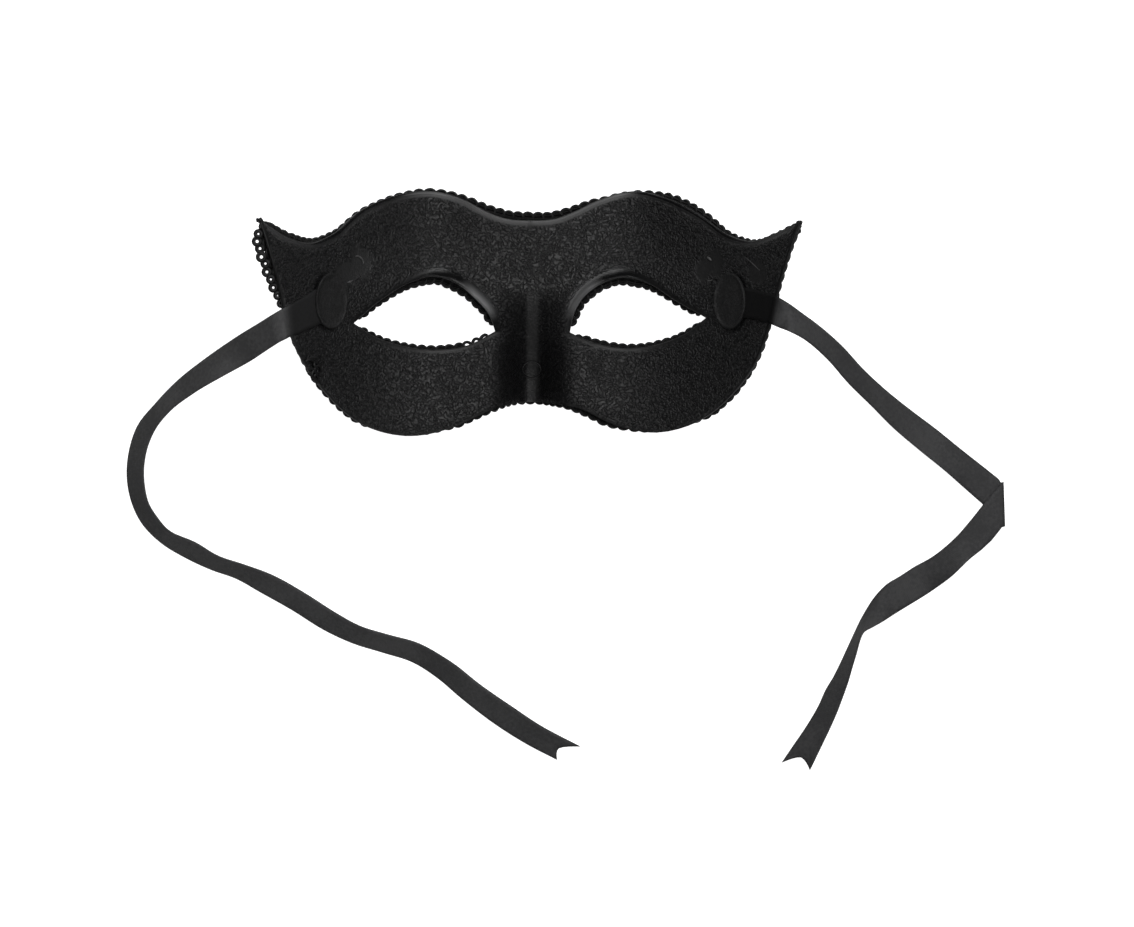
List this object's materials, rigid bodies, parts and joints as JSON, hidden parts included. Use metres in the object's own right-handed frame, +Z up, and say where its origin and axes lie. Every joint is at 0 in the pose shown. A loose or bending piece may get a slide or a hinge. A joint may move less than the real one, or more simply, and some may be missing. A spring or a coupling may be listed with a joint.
{
  "type": "masquerade eye mask",
  "caption": "Moulded black half mask with brows, cheek lobes, winged tips and open eye holes, braid-trimmed edges and flat satin tie ribbons, lying face-down.",
  "frame": {"origin": "on the surface it lies on, under the middle of the mask's own box, ribbons left out", "axes": "+X from the left wing tip to the right one as seen from the wearer's side, +Y towards the brows, +Z up, towards the wearer's side"},
  "size_m": [0.295, 0.1949, 0.0494],
  "materials": {
    "shell": "black moulded plastic, leather-grained inside, satin",
    "braid": "black looped scroll braid",
    "patch": "black glued pad, dull",
    "ribbon": "black woven satin ribbon with fine cross ribs"
  },
  "bodies": {
    "root": {"mask_shell": "shell", "edge_braid": "braid", "eye_braid_left": "braid", "eye_braid_right": "braid", "patch_left": "patch", "patch_right": "patch", "ribbon_left": "ribbon", "ribbon_right": "ribbon"}
  },
  "joints": []
}
